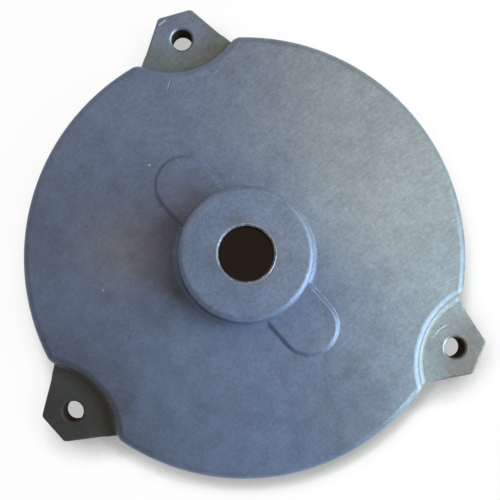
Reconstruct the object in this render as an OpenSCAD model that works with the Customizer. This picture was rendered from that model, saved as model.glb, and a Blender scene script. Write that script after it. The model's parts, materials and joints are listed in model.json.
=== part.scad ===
// Motor end shield: one light-alloy casting, lying on its rear side.
// Frame: the origin is on the shaft axis in the plane of the seating face,
// +Z points out of the front, one ear lies on -Y and the two pads lie along X.

/* [Disc] */
// Diameter of the disc over its rim
disc_d = 150; // [130:1:190]
// Thickness of the disc wall, also kept behind each scoop
disc_t = 5; // [4:0.25:6.5]
// Radius of the rounded front edge of the rim and of the scoops
rim_edge_r = 3; // [1:0.25:3]

/* [Spigot] */
// Width of the flat seating ring between the spigot and the rim
seat_w = 4; // [3:0.25:6]
// Height of the spigot behind the seating face
spigot_h = 4; // [2:0.5:8]
// Wall of the spigot
spigot_t = 4; // [3:0.25:6]
// Lead-in chamfer on the end of the spigot
spigot_chamfer = 0.8; // [0.4:0.1:1.5]
// Radius in the inner corners of the rear hollow
hollow_r = 3; // [1:0.5:4]

/* [Hub] */
// Height of the hub above the face of the disc
hub_h = 13.5; // [11:0.5:24]
// Side wall of the hub around the bearing, at the hub's top
hub_wall = 4; // [3:0.25:7]
// Front wall of the hub, which the bearing seats against
hub_front_t = 5; // [4:0.25:7]
// Draft angle of the hub's side
hub_draft = 2.5; // [0.5:0.5:5]
// Radius of the hub's top edge
hub_edge_r = 2; // [0.5:0.25:2.5]
// Radius of the fillet around the foot of the hub
hub_foot_r = 2.5; // [1:0.25:4]
// Height of the collar behind the disc, around the bearing seat
collar_h = 3; // [1:0.5:5]

/* [Bores] */
// Diameter of the hole that the shaft passes through
shaft_hole_d = 17.5; // [12:0.5:24]
// Diameter of the bearing seat
bearing_d = 35; // [30:1:47]
// Chamfer on the edges of the two bores
bore_chamfer = 0.5; // [0.2:0.1:1]

/* [Pads] */
// Width of the two low pads beside the hub, half way up their sides
pad_w = 19.2; // [14:0.2:26]
// Distance from the shaft axis to the centre of a pad's round end
pad_reach = 31.5; // [27:0.5:36]
// Distance of the pads' middle line from the shaft axis
pad_y = 0.8; // [-2:0.1:2]
// Height of the pads above the face of the disc
pad_h = 0.9; // [0.6:0.1:2]
// Width of the sloping side of a pad
pad_slope_w = 1; // [0.8:0.1:1.5]
// Radius of the pads' top edge and of the fillet around their foot
pad_edge_r = 1.2; // [0.5:0.1:1.3]

/* [Ears] */
// Angle of the two side ears above the X axis, in degrees
side_ear_angle = 25.75; // [18:0.25:32]
// Thickness of an ear
ear_t = 6; // [4:0.5:10]
// Distance of the hole's axis outside the rim
ear_hole_out = 5; // [4.5:0.25:7]
// Diameter of the hole for the tie bolt
ear_hole_d = 7; // [5:0.5:9]
// Radius of the rounded mouth of that hole
ear_mouth_r = 1; // [0.3:0.1:1]
// Distance from the hole's axis to the outer edge of the ear
ear_tip = 9.6; // [8:0.2:12]
// Width of the outer edge between the lines of its two sides
ear_tip_w = 12; // [9:0.5:15]
// Angle by which each side of the ear opens towards the disc
ear_flare = 34; // [31:0.5:36]
// Radius of the two outer corners of the ear
ear_corner_r = 2.2; // [1:0.1:3]
// Radius of the rounded front edge of the ear
ear_edge_r = 1; // [0.3:0.1:1]
// Radius of the hollow corner between the ear and the rim
ear_web_r = 2; // [1:0.25:3]

/* [Scoops] */
// Depth from the face of the disc down to the face of an ear
step_h = 8; // [6:0.5:11]
// Radius of the scoop's wall
scoop_r = 26; // [25:0.25:27.5]
// Distance of the scoop's axis outside the hole's axis
scoop_out = 12.6; // [12:0.2:13.5]
// Radius of the fillet between the scoop's wall and the ear
scoop_foot_r = 3.25; // [1.5:0.25:3.5]
// Radius of the corner between the rim and a scoop's wall, seen from the front
scoop_corner_r = 5; // [4:0.25:6]

/* [Hidden] */
$fn = 96;

// Overlap that lets cuts run clear of the surface and joined shapes run into each other
slack = 1;
// Each rounding arc crosses the lines it joins by this much, so that it always meets them
graze = 0.005;
// The same for the arc of a scoop's corner, which meets two other arcs
corner_graze = 0.03;
// The same for edges that turn around a corner, so that they meet the other edges one by one
turn_graze = 0.02;

disc_r = disc_d / 2;
// Face of the disc above the seating face
face_z = ear_t + step_h;
// Rear side of the disc wall
back_z = face_z - disc_t;
spigot_r = disc_r - seat_w;
hollow_outer_r = spigot_r - spigot_t;

bearing_r = bearing_d / 2;
hub_r = bearing_r + hub_wall;
hub_top_z = face_z + hub_h;
hub_base_r = hub_r + hub_h * tan(hub_draft);
shoulder_z = hub_top_z - hub_front_t;
collar_r = hub_base_r;
collar_z = back_z - collar_h;

ear_hole_r = disc_r + ear_hole_out;
ear_angles = [side_ear_angle, 180 - side_ear_angle, 270];

// Plan of an ear, with x running from the shaft axis out through the ear's hole
tip_x = ear_hole_r + ear_tip;
tip_corner = [tip_x, ear_tip_w / 2];
side_direction = [-cos(ear_flare), sin(ear_flare)];
side_normal = [sin(ear_flare), cos(ear_flare)];

// Radius of the arc in which the rounding of an ear's edge runs out, how many degrees it goes on
// past the edge, and how many it reaches back along the side
run_out_r = 6;
run_out_past = 2;
run_out_back = 5;
// Length by which the straight roundings run into those of the ear's corners
edge_overlap = 0.5;

// Distance of the side's line from the shaft axis
side_across = side_normal * tip_corner;
side_root = on_side(disc_r - 2 * slack);
scoop_x = ear_hole_r + scoop_out;

// The web's arc touches the side of the ear and the rim, both from outside
web_across = side_across + ear_web_r - graze;
web_centre = web_across * side_normal
    - sqrt((disc_r + ear_web_r - graze) ^ 2 - web_across ^ 2) * side_direction;

// The rounded corner's arc runs into the rim from inside and into the scoop's wall from outside
corner_to_axis = disc_r - scoop_corner_r + corner_graze;
corner_to_scoop = scoop_r + scoop_corner_r - corner_graze;
corner_x = (corner_to_axis ^ 2 - corner_to_scoop ^ 2 + scoop_x ^ 2) / (2 * scoop_x);
corner_centre = [corner_x, sqrt(corner_to_axis ^ 2 - corner_x ^ 2)];

function unit(v) = v / norm(v);
function point_towards(from, to, distance) = from + distance * unit(to - from);
// Point of the ear's side line at a given distance from the shaft axis
function on_side(distance) =
    side_across * side_normal - sqrt(distance ^ 2 - side_across ^ 2) * side_direction;
// Centre of the arc of radius r that rounds a corner at p, with its sides towards a and b
function half_angle(a, p, b) = acos(unit(a - p) * unit(b - p)) / 2;
function round_centre(a, p, b, r, crossing = graze) =
    p + unit(unit(a - p) + unit(b - p)) * (r - crossing) / sin(half_angle(a, p, b));

// Area between such a corner and its arc, running past the corner by the slack
module corner_patch(a, p, b, r, crossing = graze) {
    centre = round_centre(a, p, b, r, crossing);
    reach = (r - crossing) / tan(half_angle(a, p, b));
    past_arc = r + slack;
    past_corner = norm(p - centre) + slack;
    difference() {
        polygon([
            centre, point_towards(centre, p + reach * unit(a - p), past_arc),
            point_towards(centre, p, past_corner),
            point_towards(centre, p + reach * unit(b - p), past_arc)
        ]);
        translate(centre) circle(r);
    }
}

// Section of a cut that rounds an edge at the origin, with the material at its lower left
module edge_section(r, crossing = graze) {
    inset = r - crossing;
    difference() {
        translate([-inset, -inset]) square(inset + slack);
        translate([-inset, -inset]) circle(r);
    }
}

// Half section of the rim, the spigot and the hub, all solid
module solid_section() {
    rim_corner = [disc_r, face_z];
    hub_foot = [hub_base_r, face_z];
    hub_corner = [hub_r, hub_top_z];
    difference() {
        union() {
            square(rim_corner);
            polygon([
                [0, slack], [spigot_r, slack], [spigot_r, spigot_chamfer - spigot_h],
                [spigot_r - spigot_chamfer, -spigot_h], [0, -spigot_h]
            ]);
            polygon([[0, slack], [hub_base_r, slack], hub_foot, hub_corner, [0, hub_top_z]]);
            corner_patch(hub_corner, hub_foot, rim_corner, hub_foot_r);
        }
        corner_patch([0, face_z], rim_corner, [disc_r, 0], rim_edge_r);
        corner_patch([0, hub_top_z], hub_corner, hub_foot, hub_edge_r);
    }
}

// Half section of the hollow behind the disc, between the collar and the rim
module hollow_section() {
    inner_top = [collar_r, back_z];
    outer_top = [hollow_outer_r, back_z];
    below = -spigot_h - slack;
    difference() {
        translate([collar_r, below]) square([hollow_outer_r - collar_r, back_z - below]);
        corner_patch([collar_r, below], inner_top, outer_top, min(hollow_r, collar_h));
        corner_patch(inner_top, outer_top, [hollow_outer_r, below], hollow_r);
    }
    translate([0, below]) square([collar_r + slack, collar_z - below]);
}

// Half section of the bearing seat, the shaft hole and their chamfers
module bore_section() {
    shaft_hole_r = shaft_hole_d / 2;
    top = hub_top_z + slack;
    bottom = collar_z - slack;
    polygon([
        [0, bottom], [bearing_r + bore_chamfer + slack, bottom],
        [bearing_r, collar_z + bore_chamfer], [bearing_r, shoulder_z],
        [shaft_hole_r, shoulder_z], [shaft_hole_r, hub_top_z - bore_chamfer],
        [shaft_hole_r + bore_chamfer + slack, top], [0, top]
    ]);
}

// Section across a pad, from its middle line outwards
module pad_section() {
    edge = [(pad_w - pad_slope_w) / 2, pad_h];
    foot = [(pad_w + pad_slope_w) / 2, 0];
    difference() {
        union() {
            polygon([[0, -slack], [foot.x, -slack], foot, edge, [0, pad_h]]);
            corner_patch(edge, foot, foot + [slack, 0], pad_edge_r);
        }
        corner_patch([0, pad_h], edge, foot, pad_edge_r);
    }
}

// Both pads as one bar with round ends, which passes through the hub
module pad_bar() {
    for (side = [-1, 1]) {
        translate([side * pad_reach, pad_y, face_z]) rotate_extrude() pad_section();
    }
    translate([-pad_reach, pad_y, face_z]) rotate([90, 0, 90]) linear_extrude(2 * pad_reach) {
        pad_section();
        mirror([1, 0]) pad_section();
    }
}

// One half of an ear in plan, with the web that joins it to the rim
module half_ear_plan() {
    into_ear = web_centre - (ear_web_r + slack) * side_normal;
    into_rim = point_towards(web_centre, [0, 0], ear_web_r + slack);
    difference() {
        polygon([[side_root.x, 0], [tip_x, 0], tip_corner, side_root]);
        corner_patch([tip_x, 0], tip_corner, side_root, ear_corner_r);
    }
    difference() {
        polygon([web_centre, into_ear, side_root, into_rim]);
        translate(web_centre) circle(ear_web_r);
    }
}

// Ear as a block that reaches up to the top of the scoop's fillet
module ear_block() {
    linear_extrude(ear_t + scoop_foot_r) {
        half_ear_plan();
        mirror([0, 1]) half_ear_plan();
    }
}

// Half section of the scoop, turned about an axis beyond the ear
module scoop_section() {
    top = [scoop_r, face_z];
    foot = [scoop_r, ear_t];
    difference() {
        translate([0, ear_t]) square([scoop_r, step_h + slack]);
        corner_patch([0, ear_t], foot, top, scoop_foot_r);
    }
    corner_patch(foot, top, [scoop_r + rim_edge_r, face_z], rim_edge_r);
    translate([0, face_z + slack / 2]) square([scoop_r + rim_edge_r, slack / 2]);
}

// Half section of the post that stays in a rounded corner, with its foot on the ear
module post_section() {
    top = [scoop_corner_r, face_z];
    foot = [scoop_corner_r, ear_t];
    difference() {
        translate(foot - [scoop_corner_r, slack]) square([scoop_corner_r, step_h + 1.5 * slack]);
        corner_patch([0, face_z], top, foot, rim_edge_r, turn_graze);
    }
    corner_patch(top, foot, foot + [scoop_foot_r, 0], scoop_foot_r);
}

// Cut around that post, between the rim and the scoop
module corner_cut() {
    reach = scoop_corner_r + scoop_foot_r + slack;
    past_rim = corner_centre + reach * unit(corner_centre);
    past_wall = point_towards(corner_centre, [scoop_x, 0], reach);
    outside = past_rim + past_wall - corner_centre;
    difference() {
        translate([0, 0, ear_t]) linear_extrude(step_h + slack)
            polygon([corner_centre, past_rim, outside, past_wall]);
        translate(corner_centre) rotate_extrude() post_section();
    }
}

// Cut that rounds the front edge of an ear: along half of its tip, around one corner and
// along one side, where it runs out in an arc before it reaches the scoop's fillet
module half_edge_cut() {
    corner = round_centre([tip_x, 0], tip_corner, side_root, ear_corner_r);
    run_out_angle = acos(run_out_r / (run_out_r + ear_edge_r)) + run_out_past;
    run_out_length = (run_out_r + ear_edge_r) * sin(run_out_angle);
    scoop_across = side_normal * [scoop_x, 0] - side_across;
    scoop_along = side_direction * ([scoop_x, 0] - corner);
    flat_length = scoop_along + sqrt((scoop_r - scoop_foot_r) ^ 2 - scoop_across ^ 2);
    side_length = flat_length - run_out_length;
    side_end = corner + (ear_corner_r - graze) * side_normal + side_length * side_direction;
    translate([0, 0, ear_t]) {
        translate([tip_x, corner.y + edge_overlap, 0]) rotate([90, 0, 0])
            linear_extrude(corner.y + edge_overlap) edge_section(ear_edge_r);
        translate(corner) rotate_extrude(angle = 90 - ear_flare)
            translate([ear_corner_r, 0]) edge_section(ear_edge_r, turn_graze);
        translate(side_end) rotate([90, 0, 90 - ear_flare])
            linear_extrude(side_length + edge_overlap) edge_section(ear_edge_r);
        translate(side_end + (run_out_r - graze) * side_normal)
            rotate(270 - ear_flare - run_out_angle)
            rotate_extrude(angle = run_out_angle + run_out_back)
            translate([run_out_r, 0]) mirror([1, 0]) edge_section(ear_edge_r);
    }
}

// Tie bolt hole of an ear, with its rounded mouth
module ear_hole() {
    translate([ear_hole_r, 0, 0]) {
        translate([0, 0, -slack]) cylinder(h = ear_t + 2 * slack, d = ear_hole_d);
        translate([0, 0, ear_t]) rotate_extrude()
            translate([ear_hole_d / 2, 0]) mirror([1, 0]) edge_section(ear_mouth_r);
    }
}

module at_ears() {
    for (angle = ear_angles) {
        rotate(angle) children();
    }
}

module mirrored_pair() {
    children();
    mirror([0, 1, 0]) children();
}

// Rear hollow, with the wall behind each scoop left standing
module rear_hollow() {
    difference() {
        rotate_extrude() hollow_section();
        at_ears() translate([scoop_x, 0, 0]) cylinder(h = back_z + slack, r = scoop_r + disc_t);
    }
}

module end_shield() {
    color([0.47, 0.51, 0.55]) difference() {
        union() {
            rotate_extrude() solid_section();
            pad_bar();
            at_ears() ear_block();
        }
        rear_hollow();
        rotate_extrude() bore_section();
        at_ears() {
            translate([scoop_x, 0, 0]) rotate_extrude() scoop_section();
            ear_hole();
            mirrored_pair() {
                corner_cut();
                half_edge_cut();
            }
        }
    }
}

end_shield();
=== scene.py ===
"""Motor end shield: a bare blasted light-alloy casting, seen straight from the front on a white floor."""

import json
import math
import random
from collections import namedtuple

import bpy
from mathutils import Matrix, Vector


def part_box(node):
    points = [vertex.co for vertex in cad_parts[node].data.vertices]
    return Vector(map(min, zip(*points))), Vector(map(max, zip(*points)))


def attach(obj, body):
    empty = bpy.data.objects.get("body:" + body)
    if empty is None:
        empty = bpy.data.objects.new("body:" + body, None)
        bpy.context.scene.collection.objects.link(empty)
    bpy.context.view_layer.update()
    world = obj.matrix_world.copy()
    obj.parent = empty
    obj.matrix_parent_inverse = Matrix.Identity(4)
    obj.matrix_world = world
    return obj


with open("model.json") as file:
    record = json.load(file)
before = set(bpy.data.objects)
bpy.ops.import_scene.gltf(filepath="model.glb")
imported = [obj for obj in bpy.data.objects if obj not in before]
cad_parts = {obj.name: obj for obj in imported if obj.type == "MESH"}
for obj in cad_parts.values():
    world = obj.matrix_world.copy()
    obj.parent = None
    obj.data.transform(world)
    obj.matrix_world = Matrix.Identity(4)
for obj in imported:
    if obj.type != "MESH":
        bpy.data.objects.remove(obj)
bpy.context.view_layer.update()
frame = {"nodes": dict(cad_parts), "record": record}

MM = 0.001


def in_mm(metres):
    """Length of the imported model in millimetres, to a micrometre."""
    return round(metres / MM, 3)


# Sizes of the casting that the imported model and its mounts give, in millimetres and degrees
MOUNTS = {mount["name"]: mount for mount in frame["record"]["mounts"]}
SPIGOT_END_Z, HUB_TOP_Z = (in_mm(corner.z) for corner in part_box("end_shield"))
SHAFT_HOLE_R = MOUNTS["shaft_hole"]["dims"]["r_mm"]
BEARING_R = MOUNTS["bearing_seat"]["dims"]["r_mm"]
EAR_HOLE_R = MOUNTS["lower_tie_bolt"]["dims"]["r_mm"]
EAR_HOLE_PITCH_R = in_mm(-MOUNTS["lower_tie_bolt"]["pos_m"][1])
SIDE_HOLES_Y = in_mm(MOUNTS["side_tie_bolts"]["pos_m"][1])
SIDE_EAR_ANGLE = round(math.degrees(math.asin(SIDE_HOLES_Y / EAR_HOLE_PITCH_R)), 2)
# Its other sizes, in millimetres
DISC_R = 75.0
FACE_Z = 14.0
EAR_Z = 6.0
BORE_CHAMFER = 0.5
BURR_R = SHAFT_HOLE_R + BORE_CHAMFER
SEAT_END_Z = 22.5
SEAT_INNER_R = 66.9
SCOOP_AXIS_R = 92.6
SCOOP_R = 26.0

# The photograph: camera over the casting, looking straight down, turned about the shaft axis
PHOTO_PX = 500
FOCAL_PX = 551.8
CENTRE_PX = (227.9, 307.4)
PHOTO_TURN = math.radians(48.4)
CAMERA_MM = (8.76, -15.35, FACE_Z + 185.0)
SENSOR_MM = 36.0
CLIP_START_MM = 10.0


def in_photo_direction(angle):
    """Angle about the shaft axis, in radians, of a direction given in degrees in the photograph."""
    return math.radians(angle) + PHOTO_TURN


def towards(turn, rise=0.0):
    """Unit vector at an angle about the shaft axis and a rise above the floor, both in radians."""
    return Vector((math.cos(turn) * math.cos(rise), math.sin(turn) * math.cos(rise), math.sin(rise)))


# Helpers for nodes and meshes


class Nodes:
    """A node tree with short calls for the nodes that the materials use."""

    def __init__(self, tree):
        self.tree = tree
        tree.nodes.clear()

    def new(self, kind, inputs=None, **settings):
        node = self.tree.nodes.new(kind)
        for key, value in settings.items():
            setattr(node, key, value)
        for key, value in (inputs or {}).items():
            self.put(node.inputs[key], value)
        return node

    def put(self, socket, value):
        if isinstance(value, bpy.types.NodeSocket):
            self.tree.links.new(value, socket)
        else:
            socket.default_value = value

    def math(self, operation, a, b=0.0, clamp=False):
        node = self.new("ShaderNodeMath", operation=operation, use_clamp=clamp)
        self.put(node.inputs[0], a)
        self.put(node.inputs[1], b)
        return node.outputs[0]

    def product(self, *factors):
        result = factors[0]
        for factor in factors[1:]:
            result = self.math("MULTIPLY", result, factor)
        return result

    def vector(self, operation, a, b=(0.0, 0.0, 0.0)):
        node = self.new("ShaderNodeVectorMath", operation=operation)
        self.put(node.inputs[0], a)
        self.put(node.inputs[1], b)
        gives_number = operation in ("LENGTH", "DISTANCE", "DOT_PRODUCT")
        return node.outputs["Value" if gives_number else "Vector"]

    def rise(self, value, low, high, to_low=0.0, to_high=1.0):
        """Smooth step from one level to another as the value goes from low to high."""
        node = self.new("ShaderNodeMapRange", interpolation_type="SMOOTHSTEP")
        for socket, given in zip(node.inputs, (value, low, high, to_low, to_high)):
            self.put(socket, given)
        return node.outputs[0]

    def fall(self, value, low, high):
        return self.rise(value, low, high, 1.0, 0.0)

    def rise_mm(self, length, low, high, to_low=0.0, to_high=1.0):
        """Smooth step of a length, between two places in millimetres."""
        return self.rise(length, low * MM, high * MM, to_low, to_high)

    def fall_mm(self, length, low, high):
        return self.rise_mm(length, low, high, 1.0, 0.0)

    def wander(self, length, noise, width):
        """Length that a noise moves to and fro, over a width in millimetres."""
        return self.math("ADD", length, self.product(self.math("SUBTRACT", noise, 0.5), width * MM))

    def noise(self, place, scale, detail, roughness):
        return self.new("ShaderNodeTexNoise", {
            "Vector": place, "Scale": scale, "Detail": detail, "Roughness": roughness,
        }).outputs["Fac"]

    def mix(self, factor, a, b, blend="MIX"):
        node = self.new("ShaderNodeMix", data_type="RGBA", blend_type=blend)
        self.put(node.inputs["Factor"], factor)
        self.put(node.inputs["A"], a)
        self.put(node.inputs["B"], b)
        return node.outputs["Result"]

    def grey(self, value):
        return self.new("ShaderNodeCombineColor", {0: value, 1: value, 2: value}).outputs[0]


def new_material(name):
    material = bpy.data.materials.new(name)
    material.use_nodes = True
    return material, Nodes(material.node_tree)


def add_mesh(name, points, faces, material):
    mesh = bpy.data.meshes.new(name)
    mesh.from_pydata(points, [], faces)
    mesh.materials.append(material)
    piece = bpy.data.objects.new(name, mesh)
    bpy.context.scene.collection.objects.link(piece)
    return piece


def ring_faces(steps, section_points, section_edges):
    """Quads that sweep the edges of a section once around, through points listed step by step."""
    faces = []
    for step in range(steps):
        here = section_points * step
        after = section_points * ((step + 1) % steps)
        for first, second in section_edges:
            faces.append((here + first, after + first, after + second, here + second))
    return faces


# Cast and blasted light alloy

CAST_BLUE = (0.142, 0.193, 0.316, 1.0)
# Paler green-grey of the side towards the lamps, partly painted sheen
CAST_GREEN_AND_SHEEN = (0.22, 0.266, 0.3, 1.0)
WARM_SKIN = (0.176, 0.206, 0.275, 1.0)
DULL_SKIN = (0.156, 0.145, 0.126, 1.0)
PALE_FILM = (0.232, 0.262, 0.262, 1.0)
OLIVE_FILM_AND_SHADE = (0.142, 0.182, 0.18, 1.0)
# Grime, also used for painted shade and painted shadow
GRIME_AND_SHADE = (0.0525, 0.053, 0.05, 1.0)
HOLE_BROWN = (0.043, 0.03, 0.022, 1.0)
TURNED = (0.42, 0.43, 0.44, 1.0)
# Worn metal, also used for painted highlights
WORN_AND_HIGHLIGHT = (0.46, 0.54, 0.6, 1.0)
# Dark nicks, also used for painted shade on the disc
DARK_NICK_AND_SHADE = (0.046, 0.05, 0.06, 1.0)

METALLIC = 0.45
BUMP_STRENGTH = 0.5
BUMP_DEPTH = 0.15
# Roughness of the skin and of the turned faces, each with what its noise adds, and what the dulled places add
SKIN_ROUGH = (0.42, 0.12)
TURNED_ROUGH = (0.28, 0.1)
DULLED_ROUGH = 0.45
# Specular level of clean metal and of the dulled places
CLEAN_SPECULAR = 0.5
DULLED_SPECULAR = 0.1

# Noises of the skin: scale per metre, detail and roughness
GRAIN = (2100.0, 2.0, 0.6)
SAND = (700.0, 3.0, 0.6)
MOTTLE = (150.0, 3.0, 0.55)
STAIN = (22.0, 3.0, 0.5)
SPECKS = (900.0, 2.0, 0.5)
# Streaks of the blasting: noise, length, width and depth, and direction in the photograph
STREAKS = (1.0, 2.0, 0.6)
STREAK_SIZE = (4.0 * MM, 0.55 * MM, 2.0 * MM)
STREAK_DIRECTION = 33.0
# Rings that the turning tool left: noise and strength
TURNING = (3000.0, 2.0, 0.5)
TURNING_SHARE = 0.3

# The blasting is rougher towards this direction in the photograph, between these two places
ROUGH_DIRECTION = 35.0
ROUGH_FROM = -50.0
ROUGH_TO = 60.0
# How much each noise changes the brightness: first on the smooth side, then what the rough side adds
GRAIN_TONE = (0.34, 0.2)
SAND_TONE = (0.42, 0.12)
STREAK_TONE = (0.25, 0.35)
MOTTLE_TONE = 0.5
STAIN_TONE = 0.5
SPECK_TONE = 0.3
# Level of the noise at which a speck begins, and at which it is full
SPECK_NOISE = (0.7, 0.8)
# The hub's top is coarser and brighter, from these heights up
HUB_SKIN_FROM = 20.0
HUB_SKIN_TO = 22.0
HUB_COARSER = 0.45
HUB_BRIGHTER = 0.09
# Share of each noise in the height of the skin
GRAIN_HEIGHT = 0.4
SAND_HEIGHT = 0.6
STREAK_HEIGHT = 0.35

# The oxide turns from blue to a paler green-grey along this direction in the photograph, between these two
# places; the paler side, towards the lamps, is partly painted sheen
OXIDE_AND_SHEEN_DIRECTION = 25.0
OXIDE_AND_SHEEN_FROM = -8.0
OXIDE_AND_SHEEN_TO = 66.0
OXIDE_AND_SHEEN_WANDER = 60.0
# Zone of warmer skin beside the hub: place, reach, share of the reach in which it is full, and strength
WARM_PLACE = (-30.3, -30.4)
WARM_REACH = 22.0
WARM_CORE = 0.1
WARM_SHARE = 0.85

# Heights from a face within which its paint is full, and at which it ends
LEVEL_FULL = 0.5
LEVEL_END = 1.0
# Radii between which the scoops' films fade at the side of the disc
RIM_R = (DISC_R - 4.5, DISC_R - 0.5)
# Cover of an uneven film: the least, and what the mottle adds
PATCHY = (0.7, 0.6)

# Ears: angle about the shaft axis, how bright the painted highlight on one side of the hole's mouth is, how
# far past the scoop's wall the films reach in millimetres, and the films: paint, share at the wall and share
# at the tip
Ear = namedtuple("Ear", "angle wear reach films")
Film = namedtuple("Film", "paint at_wall at_tip")
EARS = {
    "right": Ear(SIDE_EAR_ANGLE, 0.8, -2.5, [Film(PALE_FILM, 0.85, 0.2), Film(DULL_SKIN, 0.0, 0.85)]),
    # The left ear's olive film is painted shade of the scoop's wall together with some film
    "left": Ear(180.0 - SIDE_EAR_ANGLE, 0.7, 0.6, [Film(OLIVE_FILM_AND_SHADE, 0.8, 0.0)]),
    # The lower ear's olive and grime films are painted shadow together with dirt
    "lower": Ear(270.0, 0.0, 1.4, [Film(OLIVE_FILM_AND_SHADE, 0.9, 0.2), Film(GRIME_AND_SHADE, 0.62, 0.88)]),
}
# Width of the films' edge, and the radii about the scoop's axis between which the tip's films give way
FILM_EDGE_W = 1.4
FILM_TIP_R = 11.0
FILM_WALL_R = 21.0
# Heights between which the films end below the face, and begin on the sides of the ears
FILM_TOP_Z = (FACE_Z - 2.0, FACE_Z - 0.2)
FILM_FOOT_Z = (EAR_Z - 1.5, EAR_Z - 1.0)
# Heights and radii about the scoop's axis between which the scoop's floor ends
SCOOP_FLOOR_Z = (EAR_Z + 0.2, EAR_Z + 0.8)
SCOOP_FLOOR_R = (SCOOP_R - 2.0, SCOOP_R)

# Direction in the photograph of the side of the holes' mouths with the painted highlight, whose rounding
# faces the lamps
MOUTH_HIGHLIGHT_DIRECTION = 165.0
# Radii between which the films on the mouths of the ear holes end, and strength of the brown one, which is
# dirt and painted shade
MOUTH_R = (EAR_HOLE_R + 0.3, 4.7)
MOUTH_SHARE = 0.5
# How far a mouth is turned to the highlight side, from 0 to 1, where the brown dirt and painted shade end and
# the painted highlight begins
SHADE_FADE_FACING = (0.0, 0.6)
HIGHLIGHT_FACING = (0.55, 0.95)
# Radii and heights between which the dark wall of an ear hole ends
HOLE_WALL_R = (EAR_HOLE_R + 0.1, EAR_HOLE_R + 0.3)
HOLE_WALL_Z = (EAR_Z - 0.6, EAR_Z - 0.3)

# Width and strength of the painted shadow that spreads from the lower ear's scoop onto the face
HALO_W = 22.0
HALO_SHARE = 0.3
# Painted shade with some dirt under the edge of the same scoop: where it begins and ends about the scoop's
# axis, and above the ear
CORNER_BEGINS_R = (SCOOP_R - 2.5, SCOOP_R - 0.5)
CORNER_ENDS_R = (SCOOP_R + 0.8, SCOOP_R + 3.2)
CORNER_FOOT_Z = (EAR_Z + 0.5, EAR_Z + 2.0)
CORNER_SHARE = 0.6

# Mark of a washer beside the right ear's hole: radius, middle direction and half its angle, and the cosine
# of the angle from its middle within which it is full
WASHER_R = 8.3
WASHER_ANGLE = 177.0
WASHER_HALF_ANGLE = 24.0
WASHER_FULL_COSINE = 0.99
# Its bright line: distances from the radius between which it ends, the sand that breaks it, and strength
BITE_W = (0.1, 0.4)
BITE_SAND = (0.2, 0.45)
BITE_SHARE = 0.85
# The dark line around the bright one
BITE_SHADE_W = (0.5, 0.9)
BITE_SHADE_SHARE = 0.25

# Scratches, nicks, specks and one painted highlight: two ends, half width and height of the face in
# millimetres, paint and strength
MARKS = [
    ((-60.9, 20.5), (-59.6, 18.3), 0.14, FACE_Z, WORN_AND_HIGHLIGHT, 0.55),
    ((-60.4, 20.7), (-59.1, 18.5), 0.14, FACE_Z, DARK_NICK_AND_SHADE, 0.6),
    ((-5.9, -46.2), (-5.5, -47.2), 0.25, FACE_Z, DARK_NICK_AND_SHADE, 0.7),
    ((-44.5, -3.4), (-44.3, -3.4), 0.35, FACE_Z, WORN_AND_HIGHLIGHT, 0.7),
    ((-23.4, -42.8), (-23.2, -42.8), 0.35, FACE_Z, WORN_AND_HIGHLIGHT, 0.5),
    # Painted highlight on the rounded corner of the left ear
    ((-81.0, 32.3), (-80.9, 35.0), 0.3, EAR_Z, WORN_AND_HIGHLIGHT, 0.9),
    ((64.4, 31.9), (63.8, 30.9), 0.25, EAR_Z, WORN_AND_HIGHLIGHT, 0.25),
]
# Shares of a mark's half width at which it is still full, and at which it ends
MARK_CORE = 0.5
MARK_END = 1.35
# Soft stains and painted shade on the disc: place, reach, strength and paint
STAINS_AND_SHADE = [
    ((51.5, 3.7), 7.0, 0.2, GRIME_AND_SHADE),
    ((-26.2, 9.1), 5.0, 0.35, GRIME_AND_SHADE),
    # Painted shadow of the hub
    ((-25.0, -11.5), 9.0, 0.32, GRIME_AND_SHADE),
    # Painted shade on the rounded edge of the lower ear's scoop
    ((5.7, -65.5), 9.0, 0.28, GRIME_AND_SHADE),
    # Painted shade: darker at the lower right and at the left edge of the disc
    ((64.0, -12.0), 27.0, 0.2, DARK_NICK_AND_SHADE),
    ((-47.5, -49.7), 22.0, 0.16, DARK_NICK_AND_SHADE),
]
# Share of a patch's reach in which it is full, and the width over which its edge wanders
PATCH_CORE = 0.2
PATCH_WANDER = 12.0
# Reach, wandering and strength of the smear around the shaft hole
SMEAR_R = 13.5
SMEAR_WANDER = 8.0
SMEAR_SHARE = 0.3

# Turned faces: radii and heights between which the seating ring begins and the bearing seat ends
TURNED_RING_R = (SEAT_INNER_R - 0.1, SEAT_INNER_R + 0.2)
TURNED_RING_Z = (0.05, 0.12)
TURNED_BORE_R = (BEARING_R + 0.5, BEARING_R + 0.6)
TURNED_BORE_Z = (SEAT_END_Z + 0.05, SEAT_END_Z + 0.1)
# Shaft hole: radii between which its paint ends, and heights between which its brown wall ends
HOLE_PAINT_R = (BURR_R + 0.05, BURR_R + 0.15)
HOLE_BROWN_Z = (HUB_TOP_Z - BORE_CHAMFER - 0.1, HUB_TOP_Z - BORE_CHAMFER)
# Worn spots on its chamfer: the sand that makes them, and strength
WORN_SPOT_SAND = (0.45, 0.65)
WORN_SPOT_SHARE = 0.6


class Place:
    """Where a point lies on the casting: its object coordinates, height, plan and radius."""

    def __init__(self, n):
        self.all = n.new("ShaderNodeTexCoord").outputs["Object"]
        x, y, self.z = n.new("ShaderNodeSeparateXYZ", {0: self.all}).outputs
        self.plan = n.new("ShaderNodeCombineXYZ", {0: x, 1: y}).outputs[0]
        self.radius = n.vector("LENGTH", self.plan)


def flat(point):
    """Point of the plan in metres, from its two coordinates in millimetres."""
    return (point[0] * MM, point[1] * MM, 0.0)


def on_ear(radius, angle):
    """Point of the plan at a radius in millimetres, on the middle line of the ear at that angle."""
    return tuple(towards(math.radians(angle)) * radius * MM)


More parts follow.
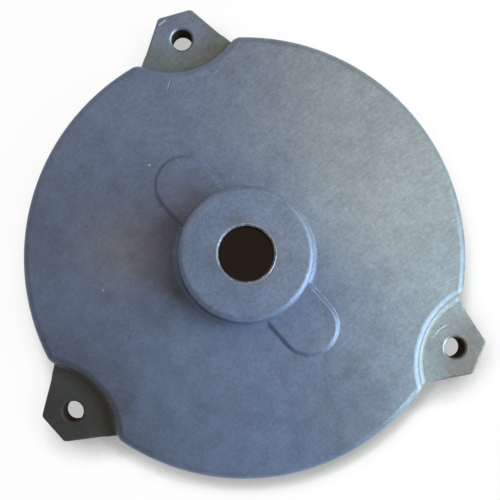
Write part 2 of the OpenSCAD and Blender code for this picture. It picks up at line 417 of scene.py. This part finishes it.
def at_height(n, place, height):
    """Share of a face at a height in millimetres, with its rounded edges."""
    return n.product(n.rise_mm(place.z, height - LEVEL_END, height - LEVEL_FULL),
                     n.fall_mm(place.z, height + LEVEL_FULL, height + LEVEL_END))


def inside_rim(n, place):
    """Share that fades from the scoops' walls to the side of the disc."""
    return n.fall_mm(place.radius, *RIM_R)


def patchy(n, mottle):
    """Factor that makes a film uneven."""
    return n.math("ADD", PATCHY[0], n.product(mottle, PATCHY[1]))


def blasted_tone(n, place):
    """Uneven brightness of the blasted skin, its height for the bump, and the noises that stains share."""
    grain = n.noise(place.all, *GRAIN)
    sand = n.noise(place.all, *SAND)
    mottle = n.noise(place.all, *MOTTLE)
    stain = n.noise(place.all, *STAIN)
    streak_place = n.new("ShaderNodeMapping", {
        "Vector": place.all,
        "Rotation": (0.0, 0.0, in_photo_direction(STREAK_DIRECTION)),
        "Scale": STREAK_SIZE,
    }, vector_type="TEXTURE").outputs[0]
    streaks = n.noise(streak_place, *STREAKS)
    to_rough_side = n.vector("DOT_PRODUCT", place.all, tuple(towards(in_photo_direction(ROUGH_DIRECTION))))
    rougher = n.rise_mm(to_rough_side, ROUGH_FROM, ROUGH_TO)
    on_hub = n.rise_mm(place.z, HUB_SKIN_FROM, HUB_SKIN_TO)
    coarser = n.math("ADD", n.product(on_hub, HUB_COARSER), 1.0)

    def weight(smooth, rough):
        return n.math("ADD", n.product(rougher, rough), smooth)

    tone = n.product(n.rise(n.noise(place.all, *SPECKS), *SPECK_NOISE), SPECK_TONE)
    tone = n.math("ADD", tone, n.math("ADD", n.product(on_hub, HUB_BRIGHTER), 1.0))
    for part, share in (
        (grain, n.product(coarser, weight(*GRAIN_TONE))),
        (sand, n.product(coarser, weight(*SAND_TONE))),
        (mottle, MOTTLE_TONE),
        (streaks, weight(*STREAK_TONE)),
        (stain, STAIN_TONE),
    ):
        tone = n.math("ADD", n.product(n.math("SUBTRACT", part, 0.5), share), tone)
    height = n.product(grain, GRAIN_HEIGHT)
    for part, share in ((sand, SAND_HEIGHT), (streaks, STREAK_HEIGHT)):
        height = n.math("ADD", height, n.product(part, share))
    return tone, height, sand, mottle, stain


def oxide_and_sheen_colour(n, place, mottle, stain):
    """Blue-grey skin that turns paler green-grey towards one side, partly painted sheen of the lamps there,
    with a warmer zone beside the hub.
    """
    along = n.vector("DOT_PRODUCT", place.all, tuple(towards(in_photo_direction(OXIDE_AND_SHEEN_DIRECTION))))
    along = n.wander(along, stain, OXIDE_AND_SHEEN_WANDER)
    skin = n.mix(n.rise_mm(along, OXIDE_AND_SHEEN_FROM, OXIDE_AND_SHEEN_TO), CAST_BLUE, CAST_GREEN_AND_SHEEN)
    away = n.wander(n.vector("DISTANCE", place.plan, flat(WARM_PLACE)), mottle, PATCH_WANDER)
    warm = n.product(n.fall_mm(away, WARM_REACH * WARM_CORE, WARM_REACH), at_height(n, place, FACE_Z))
    return n.mix(n.product(warm, WARM_SHARE), skin, WARM_SKIN)


def scoop_painted_shadow(n, place, colour, mottle):
    """Painted shadow that spreads from the lower ear's scoop onto the face."""
    to_scoop = n.vector("DISTANCE", place.plan, on_ear(SCOOP_AXIS_R, EARS["lower"].angle))
    spread = n.fall_mm(to_scoop, SCOOP_R, SCOOP_R + HALO_W)
    return n.mix(n.product(spread, patchy(n, mottle), HALO_SHARE), colour, GRIME_AND_SHADE)


def ear_films_and_shade(n, place, colour, mottle):
    """Films in the scoops and on the ears, different at the scoop's wall and at the tip; the olive and grime
    ones are partly painted shade.
    """
    below_face = n.fall_mm(place.z, *FILM_TOP_Z)
    above_side = n.rise_mm(place.z, *FILM_FOOT_Z)
    off_rim = inside_rim(n, place)
    uneven = patchy(n, mottle)
    for ear in EARS.values():
        to_scoop = n.vector("DISTANCE", place.plan, on_ear(SCOOP_AXIS_R, ear.angle))
        on_floor = n.product(n.fall_mm(place.z, *SCOOP_FLOOR_Z), n.fall_mm(to_scoop, *SCOOP_FLOOR_R))
        film_r = SCOOP_R + ear.reach
        in_scoop = n.product(n.fall_mm(to_scoop, film_r, film_r + FILM_EDGE_W),
                             below_face, above_side, n.math("MAXIMUM", off_rim, on_floor))
        for film in ear.films:
            share = n.rise_mm(to_scoop, FILM_TIP_R, FILM_WALL_R, film.at_tip, film.at_wall)
            cover = n.math("MULTIPLY", n.product(in_scoop, uneven), share, clamp=True)
            colour = n.mix(cover, colour, film.paint)
    return colour


def bolt_holes(n, place, colour):
    """Bolt holes painted dark, their mouths with a painted highlight on one side and dirt with painted shade
    on the other: the colour, and the share of dulled metal.
    """
    dulled = 0.0
    highlight_side = tuple(towards(in_photo_direction(MOUTH_HIGHLIGHT_DIRECTION)))
    for ear in EARS.values():
        offset = n.vector("SUBTRACT", place.plan, on_ear(EAR_HOLE_PITCH_R, ear.angle))
        to_hole = n.vector("LENGTH", offset)
        facing = n.math("DIVIDE", n.vector("DOT_PRODUCT", offset, highlight_side), to_hole)
        on_mouth = n.fall_mm(to_hole, *MOUTH_R)
        # Dirt and painted shade on the side of the mouth away from the highlight
        dirt_and_shade = n.product(on_mouth, MOUTH_SHARE, n.fall(n.product(facing, ear.wear), *SHADE_FADE_FACING))
        colour = n.mix(dirt_and_shade, colour, HOLE_BROWN)
        # Painted highlight on the side of the mouth turned to the lamps
        painted_highlight = n.product(on_mouth, ear.wear, n.rise(facing, *HIGHLIGHT_FACING))
        colour = n.mix(painted_highlight, colour, WORN_AND_HIGHLIGHT)
        in_hole = n.product(n.fall_mm(to_hole, *HOLE_WALL_R), n.fall_mm(place.z, *HOLE_WALL_Z))
        colour = n.mix(in_hole, colour, HOLE_BROWN)
        dulled = n.math("MAXIMUM", dulled, n.math("MAXIMUM", in_hole, dirt_and_shade))
    return colour, dulled


def scoop_wall_shade_and_dirt(n, place, colour, mottle):
    """Painted shade with some dirt on the wall of the lower ear's scoop, up to its rounded edge."""
    to_scoop = n.vector("DISTANCE", place.plan, on_ear(SCOOP_AXIS_R, EARS["lower"].angle))
    on_wall = n.product(n.rise_mm(to_scoop, *CORNER_BEGINS_R), n.fall_mm(to_scoop, *CORNER_ENDS_R),
                        n.rise_mm(place.z, *CORNER_FOOT_Z), inside_rim(n, place))
    cover = n.math("MULTIPLY", n.product(on_wall, patchy(n, mottle)), CORNER_SHARE, clamp=True)
    return n.mix(cover, colour, GRIME_AND_SHADE)


def away_from_line(n, place, first, last):
    """Distance in the plan to a short straight line, in metres."""
    start = Vector(flat(first))
    run = Vector(flat(last)) - start
    offset = n.vector("SUBTRACT", place.plan, tuple(start))
    share = n.math("DIVIDE", n.vector("DOT_PRODUCT", offset, tuple(run)), run.length_squared, clamp=True)
    nearest = n.new("ShaderNodeVectorMath", {0: tuple(run), "Scale": share}, operation="SCALE").outputs[0]
    return n.vector("DISTANCE", offset, nearest)


def face_marks(n, place, colour, mottle):
    """Scratches and specks on the disc and the ears with one painted highlight, soft stains with painted
    shade, and the smear around the shaft hole.
    """
    for first, last, half_width, height, paint, share in MARKS:
        away = away_from_line(n, place, first, last)
        cover = n.fall_mm(away, half_width * MARK_CORE, half_width * MARK_END)
        colour = n.mix(n.product(cover, at_height(n, place, height), share), colour, paint)
    for spot, reach, share, paint in STAINS_AND_SHADE:
        away = n.wander(n.vector("DISTANCE", place.plan, flat(spot)), mottle, PATCH_WANDER)
        cover = n.fall_mm(away, reach * PATCH_CORE, reach)
        colour = n.mix(n.product(cover, at_height(n, place, FACE_Z), share), colour, paint)
    cover = n.fall_mm(n.wander(place.radius, mottle, SMEAR_WANDER), SHAFT_HOLE_R, SMEAR_R)
    return n.mix(n.product(cover, at_height(n, place, HUB_TOP_Z), SMEAR_SHARE), colour, DULL_SKIN)


def washer_mark(n, place, colour, sand):
    """Bright arc where a washer has bitten into the right ear."""
    offset = n.vector("SUBTRACT", place.plan, on_ear(EAR_HOLE_PITCH_R, EARS["right"].angle))
    from_hole = n.vector("LENGTH", offset)
    middle = tuple(towards(math.radians(WASHER_ANGLE)))
    facing = n.math("DIVIDE", n.vector("DOT_PRODUCT", offset, middle), from_hole)
    off_ring = n.math("ABSOLUTE", n.math("SUBTRACT", from_hole, WASHER_R * MM))
    arc_end = math.cos(math.radians(WASHER_HALF_ANGLE))
    along = n.product(n.rise(facing, arc_end, WASHER_FULL_COSINE), at_height(n, place, EAR_Z))
    bitten = n.product(n.fall_mm(off_ring, *BITE_W), along, n.rise(sand, *BITE_SAND), BITE_SHARE)
    shaded = n.product(n.fall_mm(off_ring, *BITE_SHADE_W), along, BITE_SHADE_SHARE)
    return n.mix(bitten, n.mix(shaded, colour, DARK_NICK_AND_SHADE), WORN_AND_HIGHLIGHT)


def turned_share(n, place):
    """Where the casting was turned: spigot, seating ring and bearing seat."""
    ring = n.product(n.fall_mm(place.z, *TURNED_RING_Z), n.rise_mm(place.radius, *TURNED_RING_R))
    bore = n.product(n.fall_mm(place.radius, *TURNED_BORE_R), n.fall_mm(place.z, *TURNED_BORE_Z))
    return n.math("MAXIMUM", ring, bore)


def shaft_hole_paint(n, place, colour, sand):
    """Brown wall inside the shaft hole, and worn spots on its chamfer."""
    in_hole = n.product(n.fall_mm(place.radius, *HOLE_PAINT_R), n.rise_mm(place.z, *TURNED_BORE_Z))
    worn_spots = n.product(in_hole, n.rise(sand, *WORN_SPOT_SAND), WORN_SPOT_SHARE)
    colour = n.mix(worn_spots, colour, WORN_AND_HIGHLIGHT)
    return n.mix(n.product(in_hole, n.fall_mm(place.z, *HOLE_BROWN_Z)), colour, HOLE_BROWN)


def cast_alloy():
    material, n = new_material("cast_alloy")
    place = Place(n)
    tone, height, sand, mottle, stain = blasted_tone(n, place)
    colour = oxide_and_sheen_colour(n, place, mottle, stain)
    colour = scoop_painted_shadow(n, place, colour, mottle)
    colour = ear_films_and_shade(n, place, colour, mottle)
    colour, dulled = bolt_holes(n, place, colour)
    colour = scoop_wall_shade_and_dirt(n, place, colour, mottle)
    colour = n.mix(1.0, colour, n.grey(tone), "MULTIPLY")
    colour = face_marks(n, place, colour, mottle)
    colour = washer_mark(n, place, colour, sand)

    turned = turned_share(n, place)
    tool_path = n.new("ShaderNodeCombineXYZ", {0: place.radius, 1: place.z}).outputs[0]
    rings = n.noise(tool_path, *TURNING)
    grooves = n.product(rings, TURNING_SHARE)
    colour = n.mix(turned, colour, n.mix(grooves, TURNED, CAST_BLUE))
    colour = shaft_hole_paint(n, place, colour, sand)
    height = n.mix(turned, height, grooves)

    skin_rough = n.math("ADD", SKIN_ROUGH[0], n.product(mottle, SKIN_ROUGH[1]))
    turned_rough = n.math("ADD", TURNED_ROUGH[0], n.product(rings, TURNED_ROUGH[1]))
    rough = n.math("ADD", n.mix(turned, skin_rough, turned_rough), n.product(dulled, DULLED_ROUGH))
    clean = n.math("SUBTRACT", 1.0, dulled)
    bump = n.new("ShaderNodeBump", {"Strength": BUMP_STRENGTH, "Distance": BUMP_DEPTH * MM, "Height": height})
    shader = n.new("ShaderNodeBsdfPrincipled", {
        "Base Color": colour,
        "Metallic": n.product(clean, METALLIC),
        "Roughness": rough,
        "Specular IOR Level": n.rise(dulled, 0.0, 1.0, CLEAN_SPECULAR, DULLED_SPECULAR),
        "Normal": bump.outputs[0],
    })
    n.new("ShaderNodeOutputMaterial", {"Surface": shader.outputs[0]})
    return material


shield = frame["nodes"]["end_shield"]
shield.data.materials.clear()
shield.data.materials.append(cast_alloy())

# Ragged burr that the tool left around the shaft hole, in millimetres

BURR_W = 0.28
BURR_LOW = 0.02
BURR_HIGH = 0.1
BURR_SUNK = 0.06
# Where the crest lies across the burr's width
BURR_CREST = 0.35
BURR_STEPS = 240
BURR_STATIONS = 60
BURR_SEED = 5
# Chips that stand up from the burr: direction in the photograph, half angle and height in millimetres
BURR_CHIPS = [(175.0, 4.0, 0.35), (115.0, 3.0, 0.2), (47.7, 3.0, 0.4)]
# Finish of the burr
BURR_METALLIC = 0.5
BURR_ROUGH = 0.35


def worn_alloy():
    material, n = new_material("worn_alloy")
    shader = n.new("ShaderNodeBsdfPrincipled", {
        "Base Color": WORN_AND_HIGHLIGHT, "Metallic": BURR_METALLIC, "Roughness": BURR_ROUGH,
    })
    n.new("ShaderNodeOutputMaterial", {"Surface": shader.outputs[0]})
    return material


def burr_height(turn, heights):
    """Height of the burr at an angle about the shaft axis, straight between even stations, with the chips."""
    where = turn / math.tau * len(heights)
    low = int(where) % len(heights)
    share = where - int(where)
    height = heights[low] + (heights[(low + 1) % len(heights)] - heights[low]) * share
    for direction, half_angle, chip in BURR_CHIPS:
        off = math.remainder(turn - in_photo_direction(direction), math.tau)
        height = max(height, chip * (1.0 - abs(off) / math.radians(half_angle)))
    return height


def burr_points():
    ragged = random.Random(BURR_SEED)
    heights = [ragged.uniform(BURR_LOW, BURR_HIGH) for station in range(BURR_STATIONS)]
    points = []
    for step in range(BURR_STEPS):
        turn = math.tau * step / BURR_STEPS
        section = (
            (BURR_R, -BURR_SUNK),
            (BURR_R + BURR_W * BURR_CREST, burr_height(turn, heights)),
            (BURR_R + BURR_W, -BURR_SUNK),
        )
        for radius, z in section:
            points.append((towards(turn) * radius + Vector((0.0, 0.0, HUB_TOP_Z + z))) * MM)
    return points


burr_faces = ring_faces(BURR_STEPS, 3, [(0, 1), (1, 2), (2, 0)])
burr = add_mesh("bore_burr", burr_points(), burr_faces, worn_alloy())
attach(burr, "root")

# White floor, which keeps the shadow and is painted dark under the closed casting as painted shadow

FLOOR_SIZE = 6.0
FLOOR_GLOW = 0.95
PAPER = (0.92, 0.92, 0.92, 1.0)
# Paper and glow under the casting, dark brown as painted shadow
UNDER_CASTING = (0.038, 0.028, 0.022, 1.0)
UNDER_GLOW = (0.019, 0.0135, 0.0103, 1.0)
# The floor turns from its painted shadow to white between these radii, hidden inside the casting's spigot
UNDER_R = 60.0
OUTSIDE_R = 66.0
# The soft shadow falls away from this direction in the photograph
OPEN_DIRECTION = 112.0
OPEN_TILT = 40.0
SHADOW_REACH = 13.8
SHADOW_SAMPLES = 8
# Open share of the sky at which the shadow is darkest and at which it ends
SHADOW_FULL = 0.6
SHADOW_END = 0.94
SHADOW_LEVEL = 0.36
# Light that falls through the ear holes: level in the shadow, and radii between which it fades
HOLE_LEVEL = 0.55
HOLE_LIGHT_R = 4.0
HOLE_LIGHT_END_R = 11.0


def seen_directly(n):
    """Whether the camera looks at the surface, straight or by a reflection or refraction."""
    rays = n.new("ShaderNodeLightPath")
    seen = n.math("MAXIMUM", rays.outputs["Is Camera Ray"], rays.outputs["Is Glossy Ray"])
    return n.math("MAXIMUM", seen, rays.outputs["Is Transmission Ray"])


def floor_material():
    material, n = new_material("white_floor")
    place = n.new("ShaderNodeTexCoord").outputs["Object"]
    outside = n.rise_mm(n.vector("LENGTH", place), UNDER_R, OUTSIDE_R)
    paper = n.new("ShaderNodeBsdfDiffuse", {"Color": n.mix(outside, UNDER_CASTING, PAPER)})
    open_side = tuple(towards(in_photo_direction(OPEN_DIRECTION), math.radians(90.0 - OPEN_TILT)))
    open_sky = n.new("ShaderNodeAmbientOcclusion", {
        "Distance": SHADOW_REACH * MM, "Normal": n.vector("NORMALIZE", open_side),
    }, samples=SHADOW_SAMPLES).outputs["AO"]
    in_holes = 0.0
    for ear in EARS.values():
        to_hole = n.vector("DISTANCE", place, on_ear(EAR_HOLE_PITCH_R, ear.angle))
        in_holes = n.math("MAXIMUM", in_holes, n.fall_mm(to_hole, HOLE_LIGHT_R, HOLE_LIGHT_END_R))
    darkest = n.rise(in_holes, 0.0, 1.0, SHADOW_LEVEL, HOLE_LEVEL)
    shade = n.grey(n.rise(open_sky, SHADOW_FULL, SHADOW_END, darkest, 1.0))
    glow = n.new("ShaderNodeEmission", {"Color": n.mix(outside, UNDER_GLOW, shade), "Strength": 1.0})
    both = n.new("ShaderNodeMixShader", {
        0: n.product(seen_directly(n), FLOOR_GLOW), 1: paper.outputs[0], 2: glow.outputs[0],
    })
    n.new("ShaderNodeOutputMaterial", {"Surface": both.outputs[0]})
    return material


half = FLOOR_SIZE / 2
corners = [(-half, -half, 0), (half, -half, 0), (half, half, 0), (-half, half, 0)]
floor = add_mesh("floor", corners, [(0, 1, 2, 3)], floor_material())
floor.location.z = SPIGOT_END_Z * MM

# Pale wall around the floor, which lights the casting just as the room above it does

WALL_R = 2.9
WALL_H = 2.2
WALL_STEPS = 96
# The wall is as white as the floor at its foot and greyer from this height up
WALL_SHADE_H = 1.0
WALL_SHADE = 0.33
WORLD_COLOUR = (0.156, 0.107, 0.064, 1.0)


def wall_material():
    material, n = new_material("pale_wall")
    place = n.new("ShaderNodeTexCoord").outputs["Object"]
    height = n.new("ShaderNodeSeparateXYZ", {0: place}).outputs[2]
    pale = n.grey(n.rise(height, 0.0, WALL_SHADE_H, FLOOR_GLOW, WALL_SHADE))
    colour = n.mix(seen_directly(n), WORLD_COLOUR, pale)
    glow = n.new("ShaderNodeEmission", {"Color": colour, "Strength": 1.0})
    n.new("ShaderNodeOutputMaterial", {"Surface": glow.outputs[0]})
    return material


def wall_points():
    points = []
    for step in range(WALL_STEPS):
        foot = towards(math.tau * step / WALL_STEPS) * WALL_R
        points += [foot, foot + Vector((0.0, 0.0, WALL_H))]
    return points


wall = add_mesh("wall", wall_points(), ring_faces(WALL_STEPS, 2, [(0, 1)]), wall_material())
wall.location.z = SPIGOT_END_Z * MM

# Light: soft lamps around the casting, placed by their direction in the photograph

# Name, direction in the photograph, height above the horizon, distance, size, level, colour
LAMPS = [
    ("key", -10.0, 35.0, 0.9, 0.54, 0.82, (0.68, 0.98, 1.17)),
    ("window", -20.0, 11.0, 0.9, 0.4, 0.5, (0.93, 1.0, 1.06)),
    ("main", 25.0, 55.0, 0.4, 0.27, 0.3, (1.2, 1.03, 0.84)),
    ("fill", 100.0, 55.0, 0.6, 0.4, 0.08, (1.15, 1.0, 0.86)),
    ("left", 150.0, 45.0, 0.6, 0.4, 0.09, (1.2, 0.97, 0.76)),
    ("front", 300.0, 50.0, 0.6, 0.4, 0.04, (1.05, 1.0, 0.92)),
]


def add_lamp(name, direction, height, distance, size, level, colour):
    """Square lamp aimed at the origin, whose level is about what a white face turned to it shows."""
    lamp = bpy.data.lights.new(name, "AREA")
    lamp.shape = "SQUARE"
    lamp.size = size
    lamp.energy = level * math.pi ** 2 * distance ** 2
    lamp.color = colour
    pointing = towards(in_photo_direction(direction), math.radians(height))
    holder = bpy.data.objects.new(name, lamp)
    holder.location = pointing * distance
    holder.rotation_mode = "QUATERNION"
    holder.rotation_quaternion = (-pointing).to_track_quat("-Z", "Y")
    bpy.context.scene.collection.objects.link(holder)


for lamp_row in LAMPS:
    add_lamp(*lamp_row)

world = bpy.data.worlds.new("room")
bpy.context.scene.world = world
world.use_nodes = True
sky = Nodes(world.node_tree)
background = sky.new("ShaderNodeBackground", {"Color": WORLD_COLOUR, "Strength": 1.0})
sky.new("ShaderNodeOutputWorld", {"Surface": background.outputs[0]})

# Camera

camera_data = bpy.data.cameras.new("camera")
camera_data.sensor_width = SENSOR_MM
camera_data.lens = FOCAL_PX / PHOTO_PX * SENSOR_MM
camera_data.shift_x = (PHOTO_PX / 2 - CENTRE_PX[0]) / PHOTO_PX
camera_data.shift_y = (CENTRE_PX[1] - PHOTO_PX / 2) / PHOTO_PX
camera_data.clip_start = CLIP_START_MM * MM
camera = bpy.data.objects.new("camera", camera_data)
camera.location = Vector(CAMERA_MM) * MM
camera.rotation_euler = (0.0, 0.0, PHOTO_TURN)
bpy.context.scene.collection.objects.link(camera)
bpy.context.scene.camera = camera

bpy.context.scene.view_settings.view_transform = "Standard"

bpy.context.view_layer.update()
